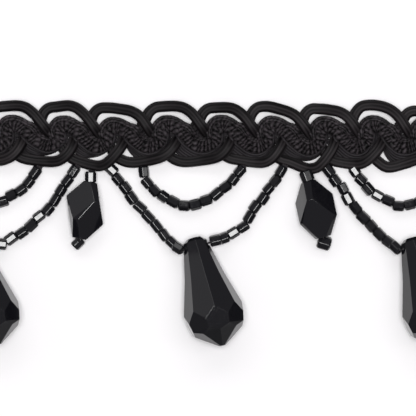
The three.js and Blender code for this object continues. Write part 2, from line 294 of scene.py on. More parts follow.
def lengthsOf(points):
    steps = np.linalg.norm(np.diff(points, axis=0), axis=1)
    return np.concatenate([[0], np.cumsum(steps)])


def pointsAt(points, places):
    lengths = lengthsOf(points)
    return np.column_stack([np.interp(places, lengths, points[:, axis]) for axis in range(3)])


def aheadAt(points, places, reach=0.3):
    places = np.asarray(places, float)
    ahead = pointsAt(points, places + reach) - pointsAt(points, places - reach)
    return ahead / np.linalg.norm(ahead, axis=1)[:, None]


# The braid: cords and ropes laid in arches, from seats one pitch apart
braid = {
    "pitch": 10.66, "firstSeat": -75.15, "topRun": 6.15, "footRun": 5.4, "crossingRise": 1.9,
    "crownTurn": 2.92, "footTurn": 5.83,
}
cordRun = [  # along, across, over: 1 where it passes over a cord
    (-1.38, 1.63, 0), (-0.18, 3.56, 0), (0.6, 5.03, 0), (1.82, 6.0, 0), (3.6, 6.22, 0.07),
    (6.15, 6.08, 0.36), (7.66, 5.67, 0.64), (8.96, 4.82, 0.9), (9.93, 3.75, 1), (10.9, 2.3, 1),
    (11.55, 1.3, 0.35), (12.2, 0.55, 0.05), (13.3, -0.6, 0), (14.25, -2.2, 0), (15.0, -3.6, 0),
    (16.15, -4.6, 0), (18.0, -5.2, 0.04), (21.6, -5.4, 0.3), (23.3, -5.1, 0.62), (24.6, -4.45, 0.9),
    (25.75, -3.45, 1), (26.7, -2.3, 1), (27.4, -1.15, 0.3), (27.95, -0.45, 0), (28.85, 0.2, 0),
]
ropeRun = [  # along, across, height, crown: 1 over a crown and 0 round a foot, spread of ropes and of plies
    (3.15, -0.75, 2.6, 0.2, 0.8, 0.9), (3.3, 0.4, 2.8, 0.5, 0.8, 1.08), (3.5, 1.27, 2.6, 0.9, 0.95, 1.2),
    (4.05, 1.92, 2.3, 1, 1, 1.18), (4.85, 2.15, 2.2, 1, 1, 1.02), (5.7, 1.9, 2.3, 1, 0.95, 0.95),
    (6.5, 1.25, 2.6, 0.8, 0.85, 1.02), (7.3, 0.55, 2.8, 0.5, 0.7, 1.2), (8.0, -0.3, 2.7, 0.3, 0.65, 1.15),
    (9.0, -1.35, 2.3, 0, 0.8, 0.95), (10.1, -2.05, 2.1, 0, 1, 1), (11.3, -2.3, 2.0, 0, 1, 1),
    (12.4, -1.95, 2.1, 0, 1, 1), (13.15, -1.4, 2.4, 0, 0.95, 0.9),
]
stray = {  # how far the hand-laid braid strays from even, one value for each pitch
    "seat": [0, 0.1, -0.1, 0.1, 0, -0.33, 0.35, 0.85, 0.15, 0.5, 0.15, 0, 0.2, 0, 0.1],
    "crown": [0.1, -0.1, 0.05, 0.27, 0.22, -0.28, 0.2, -0.08, -0.13, -0.5, 0.36, -0.95, 0, 0.1, 0],
    "crownTilt": [0, 0.2, 0, 0.15, 0.3, -0.15, 0.1, 0.1, -0.35, -0.1, -0.15, 0.1, 0, 0.1, 0],
    "footSeat": [0.4, 0.3, 0.6, 1.5, 1.5, 0.5, 0.5, 1.4, 1.4, 1.5, -0.1, 0.2, 0.4, 0.2, 0.3],
    "foot": [0, -0.3, 0.55, 0.46, -0.36, 0.42, 0.52, 0.42, -0.72, -0.05, -0.45, 0.2, 0, -0.2, 0],
    "footTilt": [0, 0.1, 0, -0.15, -0.2, 0.3, 0.3, -0.3, -0.55, -0.15, 0.85, 0, 0.1, 0, 0],
    "scroll": [0, 0, 0, 0, -0.1, -0.3, -0.05, 0.1, -0.1, 0, -0.1, 0, 0, 0.1, 0],  # crowns of the ropes
    "scrollFoot": [0, 0, 0, 0.32, 0.35, -0.05, 0, 0, 0.1, 0, 0, 0, 0, 0, 0],
    "footFan": [1, 0.8, 1, 0.9, 0.88, 0.45, 1, 1, 1, 1, 0.85, 1, 0.8, 1, 1],  # threads left of a foot
    "footHang": [0.5, 0.2, 0.5, 0, -0.1, 0.95, 0.95, 0.95, 0.2, 0.95, 0.95, 0.2, 0.5, 0.4, 0.5],  # below it
}


def strayAt(along, column, half):
    values = stray[column]
    place = min(max((along - braid["firstSeat"]) / braid["pitch"] - half, 0), len(values) - 1.001)
    row = int(place)
    share = place - row
    ease = share * share * (3 - 2 * share)
    return values[row] + (values[row + 1] - values[row]) * ease


def strayed(along, across):
    top = min(max((across + braid["footRun"]) / (braid["topRun"] + braid["footRun"]), 0), 1)
    moved = top * strayAt(along, "seat", 0) + (1 - top) * strayAt(along, "footSeat", 0.5)
    turn = (along - braid["firstSeat"]) / braid["pitch"] * 2 * math.pi
    crownTilt, footTilt = math.sin(turn - braid["crownTurn"]), math.sin(turn - braid["footTurn"])
    crown = strayAt(along, "crown", 0.5) + strayAt(along, "crownTilt", 0.5) * crownTilt
    foot = strayAt(along, "foot", 1) + strayAt(along, "footTilt", 1) * footTilt
    return along + moved, across + top**3 * crown + (1 - top) ** 3 * foot + midlineUp


def repeatedRun(run, firstSeat, every):
    rows = []
    seat = firstSeat
    while seat < cutLength / 2 + every:
        for along, across, *others in run:
            rows.append((*strayed(seat + along, across), *others))
        seat += every
    reach = cutLength / 2 + braid["pitch"] / 2
    return [row for row in rows if abs(row[0]) < reach]


def cutFlush(mesh):  # both ends cut square to the trim's length, and closed
    with edited(mesh) as soft:
        for side in (-1, 1):
            bmesh.ops.bisect_plane(
                soft,
                geom=soft.verts[:] + soft.edges[:] + soft.faces[:],
                plane_co=(side * cutLength / 2 * mm, 0, 0),
                plane_no=(side, 0, 0),
                clear_outer=True,
            )
            closeHoles(soft)
        bmesh.ops.triangulate(soft, faces=[face for face in soft.faces if len(face.verts) > 4])


def closeHoles(soft):
    bmesh.ops.holes_fill(soft, edges=[edge for edge in soft.edges if edge.is_boundary], sides=0)


# Satin cords: filament wound lengthwise over a soft core
satin = {
    "width": 2.34, "height": 1.6, "blunt": 0.8, "step": 0.35, "around": 48,
    "ribs": 7, "ribDepth": 0.13, "drift": 1.6, "wander": 120.0,
}


def satinTree():
    sizes = dict.fromkeys(("Step", "Width", "Height", "Ribs", "Rib Depth", "Drift"), "Float")
    tree, given = newGeometryTree("satinCordSweep", {**sizes, "Around": "Int"})
    x, y, _ = partsOf(tree, positionOf(tree))
    half = Amount(tree, given["Height"]) / 2
    blunt = satin["blunt"]
    wide = x.step("ABSOLUTE").step("POWER", blunt) * x.step("SIGN") * (Amount(tree, given["Width"]) / 2)
    high = y.step("ABSOLUTE").step("POWER", blunt) * y.step("SIGN") * half - half  # the profile's -Y is up
    rimX, rimY, run = carried(tree)
    drift = unevenness(tree, run, satin["wander"]) * Amount(tree, given["Drift"]) * 2
    turn = (rimY + half).step("ARCTAN2", rimX)
    shade = (turn * Amount(tree, given["Ribs"]) + drift).step("COSINE") * 0.5 + 0.5
    sweepAlong(tree, given, vectorOf(tree, wide, high, 0.0), shade, Amount(tree, given["Rib Depth"]))
    return tree


def carried(tree):  # the place on the section and along the run that each point of a sweep keeps
    rimX, rimY, _ = partsOf(tree, kept(tree, "rim", "FLOAT_VECTOR"))
    return rimX, rimY, Amount(tree, kept(tree, "run"))


def railOf(tree, given):
    curve = addNode(tree, "GeometryNodeMeshToCurve", {"Mesh": given["Geometry"]}).outputs[0]
    steps = {"Curve": curve, "Length": given["Step"]}
    even = addNode(tree, "GeometryNodeResampleCurve", steps, mode="LENGTH").outputs[0]
    level = addNode(tree, "GeometryNodeSetCurveNormal", {"Curve": even}, mode="Z_UP").outputs[0]
    return keep(tree, level, "run", addNode(tree, "GeometryNodeSplineParameter").outputs["Length"])


def sweepAlong(tree, given, shape, shade=None, depth=0.0):  # shade: 0 in a groove, 1 on a ridge; it sets the relief, and the yarn material paints shade into the grooves from it
    rail = railOf(tree, given)
    section = {"Resolution": given["Around"], "Radius": 1.0}
    circle = addNode(tree, "GeometryNodeCurvePrimitiveCircle", section).outputs[0]
    shaped = addNode(tree, "GeometryNodeSetPosition", {"Geometry": circle, "Position": shape}).outputs[0]
    marked = keep(tree, shaped, "rim", positionOf(tree), "FLOAT_VECTOR")
    swept = addNode(tree, "GeometryNodeCurveToMesh", {"Curve": rail, "Profile Curve": marked}).outputs[0]
    geometry = keep(tree, swept, "shade", shade or 1.0)
    if shade:
        push = scaled(tree, addNode(tree, "GeometryNodeInputNormal").outputs[0], (shade - 1.0) * depth)
        moved = {"Geometry": geometry, "Offset": push}
        geometry = addNode(tree, "GeometryNodeSetPosition", moved).outputs[0]
    endTree(tree, geometry, given)


def addSatinCords(material):
    tree = satinTree()
    values = {
        "Step": satin["step"] * mm,
        "Around": satin["around"],
        "Width": satin["width"] * mm,
        "Height": satin["height"] * mm,
        "Ribs": satin["ribs"],
        "Rib Depth": satin["ribDepth"] * mm,
        "Drift": satin["drift"],
        "Material": material,
    }
    for strand in range(3):
        firstSeat = braid["firstSeat"] + (strand - 3) * braid["pitch"]
        rows = repeatedRun(cordRun, firstSeat, 3 * braid["pitch"])
        rows = [(x, y, over * braid["crossingRise"]) for x, y, over in rows]
        name = f"satinCord{strand + 1}"
        mesh = grown(name, lineMesh(name, routeThrough(rows)), tree, values)
        cutFlush(mesh)
        addPiece(name, mesh, [f"satin_cord_{strand + 1}"])
    print("satin cords laid")


# Scrolls: a bundle of strands, twisted ones in the middle and plain ones outside them
strands = [  # name, kind, shift to the left and drop on a crown and at a foot, and fan at a foot
    ("scrollRope1", "rope", (0.55, 0.5), (0, 0.15), 0),
    ("scrollRope2", "rope", (-0.5, -0.55), (0.15, 0), 0),
    ("innerPly", "ply", (1.4, 1.3), (0.15, 0.6), 0),
    ("outerPly", "ply", (1.92, 1.75), (0.35, 1.0), 0),
    ("bedPly1", "ply", (1.05, 0.95), (0.75, 0.9), 0),
    ("bedPly2", "ply", (0.1, 0.0), (0.95, 0.95), 0),
    ("bedPly3", "ply", (-0.8, -1.0), (0.95, 0.9), 0),
    ("footThread1", "thread", (-0.8, -1.25), (0.8, 0.4), 0.15),
    ("footThread2", "thread", (-0.6, -1.25), (1.1, 0.8), 0.65),
    ("footThread3", "thread", (-0.5, -1.25), (1.2, 1.1), 1.15),
    ("footThread4", "thread", (-0.4, -1.25), (1.3, 1.35), 1.65),
    ("footThread5", "thread", (-0.3, -1.25), (1.3, 1.6), 2.15),
]
kinds = {
    "rope": {"width": 1.46, "step": 0.1, "around": 18, "ridge": 0.84, "ridgeDepth": 0.36, "starts": 1},
    "ply": {"width": 0.72, "step": 0.2, "around": 10, "ridge": 0.84, "ridgeDepth": 0.06, "starts": 1},
    "thread": {"width": 0.6, "step": 0.24, "around": 8, "ridge": 0.5, "ridgeDepth": 0.0, "starts": 1},
}
twist = {"uneven": 6.0, "wander": 420.0, "sharp": 1.4, "looserOnCrown": 0.3}
fan = {"middle": 9.6, "left": 1.6, "right": 2.0, "hangMiddle": 12.4, "hangWidth": 1.9}  # along, from a seat


def ropeTree():
    sizes = dict.fromkeys(("Step", "Width", "Ridge Pitch", "Ridge Depth", "Starts", "Wander"), "Float")
    tree, given = newGeometryTree("twistedRopeSweep", {**sizes, "Around": "Int"})
    sized = scaled(tree, positionOf(tree), Amount(tree, given["Width"]) / 2)
    rimX, rimY, run = carried(tree)
    turn = rimY.step("ARCTAN2", rimX) * Amount(tree, given["Starts"]) / 2
    turn = turn + unevenness(tree, run, twist["wander"]) * Amount(tree, given["Wander"])
    phase = run * math.pi / Amount(tree, given["Ridge Pitch"]) + turn
    wave = phase.step("SINE").step("ABSOLUTE").step("POWER", twist["sharp"])
    depth = Amount(tree, given["Ridge Depth"]) * Amount(tree, kept(tree, "tight"))
    sweepAlong(tree, given, sized, wave, depth)
    return tree


def beside(points, shifts):  # a route shifted to its left in plan
    ahead = np.gradient(points[:, :2], axis=0)
    ahead /= np.linalg.norm(ahead, axis=1)[:, None]
    shifted = points[:, :3].copy()
    shifted[:, 0] -= ahead[:, 1] * shifts
    shifted[:, 1] += ahead[:, 0] * shifts
    return shifted


def between(pair, share):  # from a strand's value at a foot to its value on a crown
    return pair[1] + (pair[0] - pair[1]) * share


def addScrolls(tools):
    tree = ropeTree()
    pitch = braid["pitch"]
    middle = routeThrough(repeatedRun(ropeRun, braid["firstSeat"] - pitch, pitch))
    crown = middle[:, 3]
    strays = {
        column: np.array([strayAt(x, column, half) for x in middle[:, 0]])
        for column, half in {"footFan": 0.9, "footHang": 1.1, "scroll": 0.5, "scrollFoot": 1.1}.items()
    }
    along = middle[:, 0] - braid["firstSeat"]
    middles = (fan["middle"], fan["hangMiddle"])
    fromFan, fromHang = ((along - place + pitch / 2) % pitch - pitch / 2 for place in middles)
    leftOf = np.exp(-((fromFan / np.where(fromFan < 0, fan["left"], fan["right"])) ** 2))
    below = np.exp(-((fromHang / fan["hangWidth"]) ** 2))
    widest = strays["footFan"]
    fanned = np.minimum(leftOf * widest + below * strays["footHang"], np.maximum(widest, 1))
    middle[:, 1] += between((strays["scroll"], strays["scrollFoot"]), crown)
    for name, sort, shift, drop, fans in strands:
        kind = kinds[sort]
        spread = middle[:, 4 if sort == "rope" else 5]
        points = beside(middle, between(shift, crown) * spread - fanned * fans)
        points[:, 2] -= between(drop, crown)
        values = {
            "Step": kind["step"] * mm,
            "Around": kind["around"],
            "Width": kind["width"] * mm,
            "Ridge Pitch": kind["ridge"] * mm,
            "Ridge Depth": kind["ridgeDepth"] * mm,
            "Starts": kind["starts"],
            "Wander": twist["uneven"],
            "Material": tools["thread" if sort == "thread" else "twisted"],
        }
        tight = 1 - twist["looserOnCrown"] * crown
        mesh = grown(name, lineMesh(name, points, {"tight": tight}), tree, values)
        cutFlush(mesh)
        if sort == "rope":
            addPiece(name, mesh, [f"scroll_rope_{name[-1]}"])
        else:
            addPiece(name, mesh)
    print("scroll strands laid")


# Knots that close the eyes of the scrolls
knots = {  # a coil of thread in each eye: along, across, height, widest and turns; then its make
    "crown": (5.1, -0.1, 1.1, 1.25, 4),
    "foot": (10.5, 0.7, 0.9, 1.1, 3),
    "seat": (1.0, -0.25, 0.8, 0.85, 2),
    "gap": (5.6, -1.4, 0.8, 0.75, 2),
    "radius": 0.2, "step": 0.2, "turnSteps": 10, "taper": 0.85, "rise": 0.3,
    "ragged": (0.88, 1.08), "unlevel": 0.12, "inside": 0.5,
}


def addKnots(tools):
    draw = random.Random(7)
    coils = []
    seat = braid["firstSeat"] - braid["pitch"]
    while seat < cutLength / 2:
        for key in ("crown", "foot", "seat", "gap"):
            along, across, height, widest, turns = knots[key]
            x, y = strayed(seat + along, across)
            if abs(x) > cutLength / 2 - widest - knots["inside"]:
                continue
            begin = draw.uniform(0, 360)
            rows = []
            steps = turns * knots["turnSteps"]
            for k in range(steps + 1):
                share = k / steps
                angle = math.radians(begin + share * turns * 360)
                reach = widest * (1 - knots["taper"] * share) * draw.uniform(*knots["ragged"])
                rise = height + knots["rise"] * share + draw.uniform(-knots["unlevel"], knots["unlevel"])
                rows.append((x + math.cos(angle) * reach, y + math.sin(angle) * reach, rise))
            name = f"knot{len(coils)}"
            coils.append(threadMesh(name, rows, tools, knots["radius"], knots["step"]))
        seat += braid["pitch"]
    addPiece("eyeKnots", joined("eyeKnots", coils))
    print("eye knots tied:", len(coils))


# Strings of seed beads
seed = {
    "radius": 1.12, "rest": 1.08, "chamfer": 0.22, "edge": 0.17, "bore": 0.42, "spaced": 0.02, "bare": 0.1,
    "yaw": 7, "pitch": 1.5, "aside": 0.21, "unevenLength": 0.1, "unevenGirth": 0.07,
    "tipped": 0.17, "levelled": 0.08, "sunk": 0.08, "sharp": 35,
}
rolls = {  # degrees about the bore: 30 lays a facet level, 0 an edge; below 0 for a bead that lies tipped
    "scallopString1": (20, 14, -23, 18, 12, 22, 16, 38, -13, 14, 17, 8),
    "scallopString2": (15, 14, -22, 44, -20, -14, -30, -20, 14, -16, 12, 14),
    "scallopString3": (30, 22, 40, 30, -22, -20, -28, -18, -24, 15, 20, 12),
    "swagString1": (18, 14, 22, 30, 16, 20, 12, 18, -23, 15, 18, 30, 31, 15, -23, 29, 17, 17, 13, 14, 26),
    "swagString2": (29, 19, 18, 14, 17, 16, 13, 16, 15, -14, 17, 17, 30, 14, 12, 18, 10, 16, -23, 14),
    "swagString3": (14, 15, 12, 30, -4, -22, -23, -16, -22, -5, 18, 22, 14, 30, 17, 20, 12, 16, -23, 18),
    "dropString1": (5, 10),
    "dropString2": (27, 12),
    "dropString3": (20, 14),
    "dropString4": (18, 12),
}
threadSize = {"radius": 0.17, "step": 0.5, "around": 8}
scallops = [  # along, down
    [
        (-53.2, 6.2), (-52.4, 9.8), (-49.4, 12.7), (-45.2, 14.1),
        (-40.6, 13.2), (-36.7, 10.95), (-34.2, 8.6), (-32.7, 6.3),
    ],
    [
        (-11.35, 5.95), (-10.6, 8.9), (-7.3, 12.2), (-2.9, 14.05),
        (1.5, 12.95), (5.6, 10.2), (8.0, 7.6), (9.25, 6.0),
    ],
    [
        (31.3, 6.2), (33.6, 9.15), (37.3, 12.3), (41.2, 13.95),
        (45.3, 13.4), (49.2, 10.9), (51.6, 8.3), (52.6, 6.3),
    ],
]


def seedBead():  # a six-cut tube bead 1 mm long, its bore along Z
    corners = []
    radius = seed["radius"] * mm
    spread = math.degrees(seed["edge"] / seed["radius"])
    for side in range(6):
        for offset in (-spread, spread):
            angle = math.radians(side * 60 + offset)
            corners.append((math.cos(angle), math.sin(angle)))
    half = 0.5 * mm
    chamfer = seed["chamfer"] * mm
    rings = [
        (seed["bore"] * mm, -half),
        (radius - chamfer, -half),
        (radius, -half + chamfer / 2),
        (radius, half - chamfer / 2),
        (radius - chamfer, half),
        (seed["bore"] * mm, half),
    ]
    points = [(x * r, y * r, z) for r, z in rings for x, y in corners]
    faces = []
    count = len(corners)
    for ring in range(len(rings)):
        for k in range(count):
            after = (k + 1) % count
            low = ring * count
            high = (ring + 1) % len(rings) * count
            faces.append((low + k, low + after, high + after, high + k))
    mesh = bpy.data.meshes.new("seedBead")
    mesh.from_pydata(points, [], faces)
    return placed("seedBead", mesh)


def beadTree():
    sizes = dict.fromkeys(("Yaw", "Pitch", "Uneven"), "Float")
    tree, given = newGeometryTree("beadString", {"Bead": "Object", **sizes, "Seed": "Int"})
    points = addNode(tree, "GeometryNodeMeshToPoints", {"Mesh": given["Geometry"]})
    source = addNode(tree, "GeometryNodeObjectInfo", {"Object": given["Bead"]})
    ahead = {"Vector": kept(tree, "ahead", "FLOAT_VECTOR")}
    facing = addNode(tree, "FunctionNodeAlignRotationToVector", ahead, axis="Z").outputs[0]
    level = {"Rotation": facing, "Vector": (0.0, 0.0, 1.0)}
    facing = addNode(tree, "FunctionNodeAlignRotationToVector", level, axis="X", pivot_axis="Z").outputs[0]
    pitch, yaw = Amount(tree, given["Pitch"]), Amount(tree, given["Yaw"])
    limits = {
        "Min": vectorOf(tree, yaw * -1.0, pitch * -1.0, 0.0),
        "Max": vectorOf(tree, yaw, pitch, 0.0),
        "Seed": given["Seed"],
    }
    sway = addNode(tree, "FunctionNodeRandomValue", limits, data_type="FLOAT_VECTOR").outputs[0]
    for turn in (sway, vectorOf(tree, 0.0, 0.0, kept(tree, "roll"))):
        turned = addNode(tree, "FunctionNodeEulerToRotation", {0: turn}).outputs[0]
        both = {"Rotation": facing, "Rotate By": turned}
        facing = addNode(tree, "FunctionNodeRotateRotation", both, rotation_space="LOCAL").outputs[0]
    uneven = Amount(tree, given["Uneven"])
    limits = {2: uneven * -1.0 + 1.0, 3: uneven * 0.5 + 1.0, "Seed": given["Seed"]}
    girth = Amount(tree, addNode(tree, "FunctionNodeRandomValue", limits, data_type="FLOAT").outputs[1])
    girth = girth * Amount(tree, kept(tree, "wide"))
    laid = {
        "Points": points.outputs[0],
        "Instance": source.outputs["Geometry"],
        "Rotation": facing,
        "Scale": vectorOf(tree, girth, girth, kept(tree, "long")),
    }
    endTree(tree, addNode(tree, "GeometryNodeInstanceOnPoints", laid).outputs[0], given, smooth=False)
    return tree


def threadTree():
    tree, given = newGeometryTree("threadSweep", {"Step": "Float", "Around": "Int", "Radius": "Float"})
    sweepAlong(tree, given, scaled(tree, positionOf(tree), given["Radius"]))
    return tree


def threadMesh(name, points, tools, radius=threadSize["radius"], step=threadSize["step"]):
    values = {
        "Step": step * mm,
        "Around": threadSize["around"],
        "Radius": radius * mm,
        "Material": tools["thread"],
    }
    mesh = grown(name, lineMesh(name, points), tools["threadTree"], values)
    with edited(mesh) as soft:
        closeHoles(soft)
    return mesh


def joined(name, meshes):  # several meshes as one, with a slot for each material
    soft = bmesh.new()
    made = bpy.data.meshes.new(name)
    for mesh in meshes:
        first = len(soft.faces)
        soft.from_mesh(mesh)
        material = mesh.materials[-1]
        if material.name not in made.materials:
            made.materials.append(material)
        soft.faces.ensure_lookup_table()
        for face in soft.faces[first:]:
            face.material_index = made.materials.find(material.name)
    soft.to_mesh(made)
    soft.free()
    return made


def beadMesh(name, route, stretches, tools):
    draw = random.Random(name)
    centres, yaws, widths, lengths = [], [], [], []
    for stretch in stretches:
        shares = np.array([1 + draw.uniform(-1, 1) * seed["unevenLength"] for _ in range(stretch["count"])])
        shares *= (stretch["to"] - stretch["from"]) / shares.sum()
        centres += list(stretch["from"] + np.cumsum(shares) - shares / 2)
        yaws += [stretch.get("yaw", 0)] * stretch["count"]
        widths += [stretch.get("wide", 1)] * stretch["count"]
        lengths += [stretch.get("length", share - seed["spaced"]) for share in shares]
    ahead = aheadAt(route, centres)
    ahead[:, 2] = ahead[:, 2] * seed["levelled"] + seed["tipped"] * (np.array(rolls[name]) < 0)
    turn = np.radians(yaws)
    ahead[:, 0], ahead[:, 1] = (
        ahead[:, 0] * np.cos(turn) - ahead[:, 1] * np.sin(turn),
        ahead[:, 0] * np.sin(turn) + ahead[:, 1] * np.cos(turn),
    )
    places = pointsAt(route, centres)
    rolled = np.radians(np.abs(rolls[name]))
    corner = np.abs((rolled + math.pi / 6) % (math.pi / 3) - math.pi / 6)
    reach = seed["radius"] * np.array(widths) * (1 + seed["unevenGirth"] / 2) * np.cos(corner)
    reach += (np.array(lengths) - seed["chamfer"]) / 2 * (np.abs(ahead[:, 2]) + math.radians(seed["pitch"]))
    places[:, 2] = np.maximum(places[:, 2] - seed["sunk"], reach)  # no bead dips into what it lies on
    aside = np.array([draw.uniform(-1, 1) for _ in centres]) * seed["aside"]
    places[:, 0] -= ahead[:, 1] * aside
    places[:, 1] += ahead[:, 0] * aside
    marks = {"ahead": ahead, "roll": rolled, "wide": widths, "long": lengths}
    mesh = pointMesh(name + "Places", places, [], marks)
    values = {
        "Bead": tools["bead"],
        "Yaw": math.radians(seed["yaw"]),
        "Pitch": math.radians(seed["pitch"]),
        "Uneven": seed["unevenGirth"],
        "Seed": len(name) + int(name[-1]),
        "Material": tools["glass"],
    }
    return weighted(grown(name, mesh, tools["beadTree"], values), name, seed["sharp"])


wrapping = {  # path: how far spread, how far up over the cord, and height
    "threads": 3, "apart": 0.42, "radius": 0.24, "upward": 0.6, "fineness": 5,
    "path": ((0.9, -0.35, 1.0), (1, 0.25, 1.3), (1.2, 1.0, 0.9)),
}


def wrapMeshes(name, route, tools):  # threads from a string's first bead up into the lower cord
    ahead = aheadAt(route, [0.5])[0]
    side = np.array([-ahead[1], ahead[0], 0])
    side /= np.linalg.norm(side)
    up = np.array([0, 1, 0]) * wrapping["upward"] - ahead * (1 - wrapping["upward"])
    up /= np.linalg.norm(up)
    foot = np.array([*route[0][:2], 0])
    made = []
    for k in range(wrapping["threads"]):
        shift = side * (k - (wrapping["threads"] - 1) / 2) * wrapping["apart"]
        rows = [
            foot + shift * spread + up * rise + (0, 0, height)
            for spread, rise, height in wrapping["path"]
        ]
        points = routeThrough(rows, wrapping["fineness"])
        made.append(threadMesh(f"{name}Wrap{k}", points, tools, wrapping["radius"]))
    return made


def onSurface(rows):  # at the height of a bead that rests, or as high as a row's third number says
    return [(along, midlineUp - down, *(high or [seed["rest"]])) for along, down, *high in rows]


def addScallops(tools):
    for index, rows in enumerate(scallops):
        name = f"scallopString{index + 1}"
        addString(name, routeThrough(onSurface(rows)), [(0, -1, 12)], f"scallop_strand_{index + 1}", tools)
    print("scallops strung")


def addString(name, route, runs, node, tools):  # runs: from, to and count of beads, -1 is the end
    whole = lengthsOf(route)[-1]
    stretches = []
    for start, end, count in runs:
        start = start or seed["bare"]
        end = whole - seed["bare"] if end == -1 else end
        stretches.append({"from": start, "to": end, "count": count})
    beads = beadMesh(name, route, stretches, tools)
    thread = threadMesh(name + "Thread", route, tools)
    ends = wrapMeshes(name, route, tools) + wrapMeshes(name, route[::-1], tools)
    addPiece(name, joined(name, [thread, *ends]), [node])
    addPiece(name + "Beads", beads, [node])


# Teardrops on their swags
teardrop = {
    "hole": 0.6, "drill": 12, "holeDown": 1.65, "tip": 8, "shave": 0.25, "edge": 0.035, "clear": (0.5, 0.7),
}
teardropRings = [  # from the neck, radius, half turns
    (0, 1.6, 0), (0.7, 2.4, 0), (8.2, 4.15, 0), (15.1, 6.15, 0),
    (17.2, 6.2, 1), (19.1, 5.75, 1), (19.9, 4.95, 2), (22.85, 0.6, 2),
]
swags = [  # arms: along, down, and the height where it isn't a resting bead's
    {
        "hole": (-46.2, 22.15), "lean": 14.8, "roll": 8.5, "beads": (10, 11),
        "left": [(-62.4, 6.2), (-60.2, 8.9), (-56.9, 13.6), (-53.4, 19.0, 1.2), (-51.2, 21.5, 2)],
        "right": [
            (-40.0, 21.8, 1.7), (-37.9, 20.6), (-34, 17.7), (-30.8, 14.6), (-28.3, 10.9),
            (-26.9, 9.2), (-25.6, 7.2), (-24.8, 6.1),
        ],
    },
    {
        "hole": (-0.5, 22.35), "lean": 15, "roll": 5, "beads": (10, 10),
        "left": [
            (-18.9, 5.8), (-16.75, 8.2), (-15.5, 10.1), (-13.9, 12.1), (-10.5, 15.9),
            (-7.7, 19.3, 1.2), (-5.4, 21.9, 2),
        ],
        "right": [
            (5.4, 20.5, 1.6), (7.65, 19.25, 1.1), (9.5, 18.0), (11.7, 14.3), (14.2, 11.1),
            (17.0, 7.05), (17.7, 6.0),
        ],
    },
    {
        "hole": (44.0, 22.35), "lean": 15.4, "roll": 5, "beads": (10, 10),
        "left": [
            (25.7, 5.9), (28.1, 8.7), (29.6, 10.8), (31.2, 13.2), (34.9, 17.7),
            (38.2, 20.6, 1.4), (39.6, 21.8, 2),
        ],
        "right": [(50.0, 20.4, 1.4), (54.3, 17.0), (57.8, 12.3), (60.6, 8.3), (62.3, 6.2)],
    },
]


def loft(rings, corners):
    soft = bmesh.new()
    made = []
    for at, radius, turn in rings:
        ring = []
        for k in range(corners):
            angle = math.pi / 2 + (k + turn / 2) * 2 * math.pi / corners
            ring.append(soft.verts.new((math.cos(angle) * radius, -at, math.sin(angle) * radius)))
        made.append(ring)
    for above, here in zip(made, made[1:]):
        for k in range(corners):
            after = (k + 1) % corners
            soft.faces.new((above[k], above[after], here[k]))
            soft.faces.new((here[k], above[after], here[after]))
    soft.faces.new(made[0])
    soft.faces.new(made[-1])
    bmesh.ops.recalc_face_normals(soft, faces=soft.faces)
    return soft


def polished(name, soft, bore, material, edge):  # cut faces with softened edges, drilled, flat below
    bmesh.ops.dissolve_limit(soft, angle_limit=math.radians(2.5), verts=soft.verts, edges=soft.edges)
    soft.transform(Matrix.Scale(mm, 4))
    mesh = meshFrom(soft, name)
    mesh.materials.append(material)
    mesh.polygons.foreach_set("use_smooth", [True] * len(mesh.polygons))
    holder = placed(name + "Holder", mesh)
    bevel = holder.modifiers.new("edges", "BEVEL")
    bevel.width = edge * mm
    bevel.segments = 3
    bevel.limit_method = "ANGLE"
    bevel.angle_limit = math.radians(9)
    cutters = [bore, slabUnder()]
    for tool in cutters:
        cut = holder.modifiers.new("cut", "BOOLEAN")
        cut.operation = "DIFFERENCE"
        cut.solver = "EXACT"
        cut.object = tool
    made = asMesh(holder, name)
    for tool in cutters:
        bpy.data.objects.remove(tool)
    return weighted(made, name)


def weighted(mesh, name, sharp=28):  # flat faces stay flat while their softened edges shade round
    with edited(mesh) as soft:
        for edge in soft.edges:
            edge.smooth = len(edge.link_faces) == 2 and edge.calc_face_angle() < math.radians(sharp)
        for face in soft.faces:
            face.smooth = True
    holder = placed(name + "Holder", mesh)
    modifier = holder.modifiers.new("faces", "WEIGHTED_NORMAL")
    modifier.keep_sharp = True
    modifier.weight = 100
    modifier.thresh = 0
    return asMesh(holder, name)


def toolFrom(soft, name):
    tool = placed(name, meshFrom(soft, name))
    tool.hide_render = True
    return tool


def slabUnder():  # a block, 1 m wide, whose top is the surface
    soft = bmesh.new()
    bmesh.ops.create_cube(soft, size=1)
    soft.transform(Matrix.Translation((0, 0, -0.5)))
    return toolFrom(soft, "slab")


def boreTool(radius, length, placing):  # a drill along placing's Z, in mm
    soft = bmesh.new()
    bmesh.ops.create_cone(
        soft, cap_ends=True, segments=24, radius1=radius * mm, radius2=radius * mm, depth=length * mm
    )
    soft.transform(placing)
    return toolFrom(soft, "drill")


def addTeardrops(tools):
    for index, swag in enumerate(swags):
        lean = math.radians(swag["lean"])
        lying = Matrix.Rotation(lean, 4, "Z")
        lying = lying @ Matrix.Rotation(-math.radians(teardrop["tip"]), 4, "X")
        lying = lying @ Matrix.Rotation(math.radians(swag["roll"]), 4, "Y")
        soft = loft(teardropRings, 8)
        soft.transform(lying)
        hole = lying @ Vector((0, -teardrop["holeDown"], 0))
        lowest = min(vert.co.z for vert in soft.verts)
        along, down = swag["hole"]
        middle = Vector((along, midlineUp - down, hole.z - lowest - teardrop["shave"]))
        soft.transform(Matrix.Translation(middle - hole))
        across = Matrix.Rotation(lean, 4, "Z") @ Matrix.Rotation(math.pi / 2, 4, "Y")
        bore = boreTool(teardrop["hole"], teardrop["drill"], Matrix.Translation(middle * mm) @ across)
        name = f"teardrop{index + 1}"
        mesh = polished(name, soft, bore, tools["acrylic"], teardrop["edge"])
        addPiece(name, mesh, [f"teardrop_{index + 1}"])
        addSwag(index, swag, middle, lean, tools)
    print("teardrops hung")


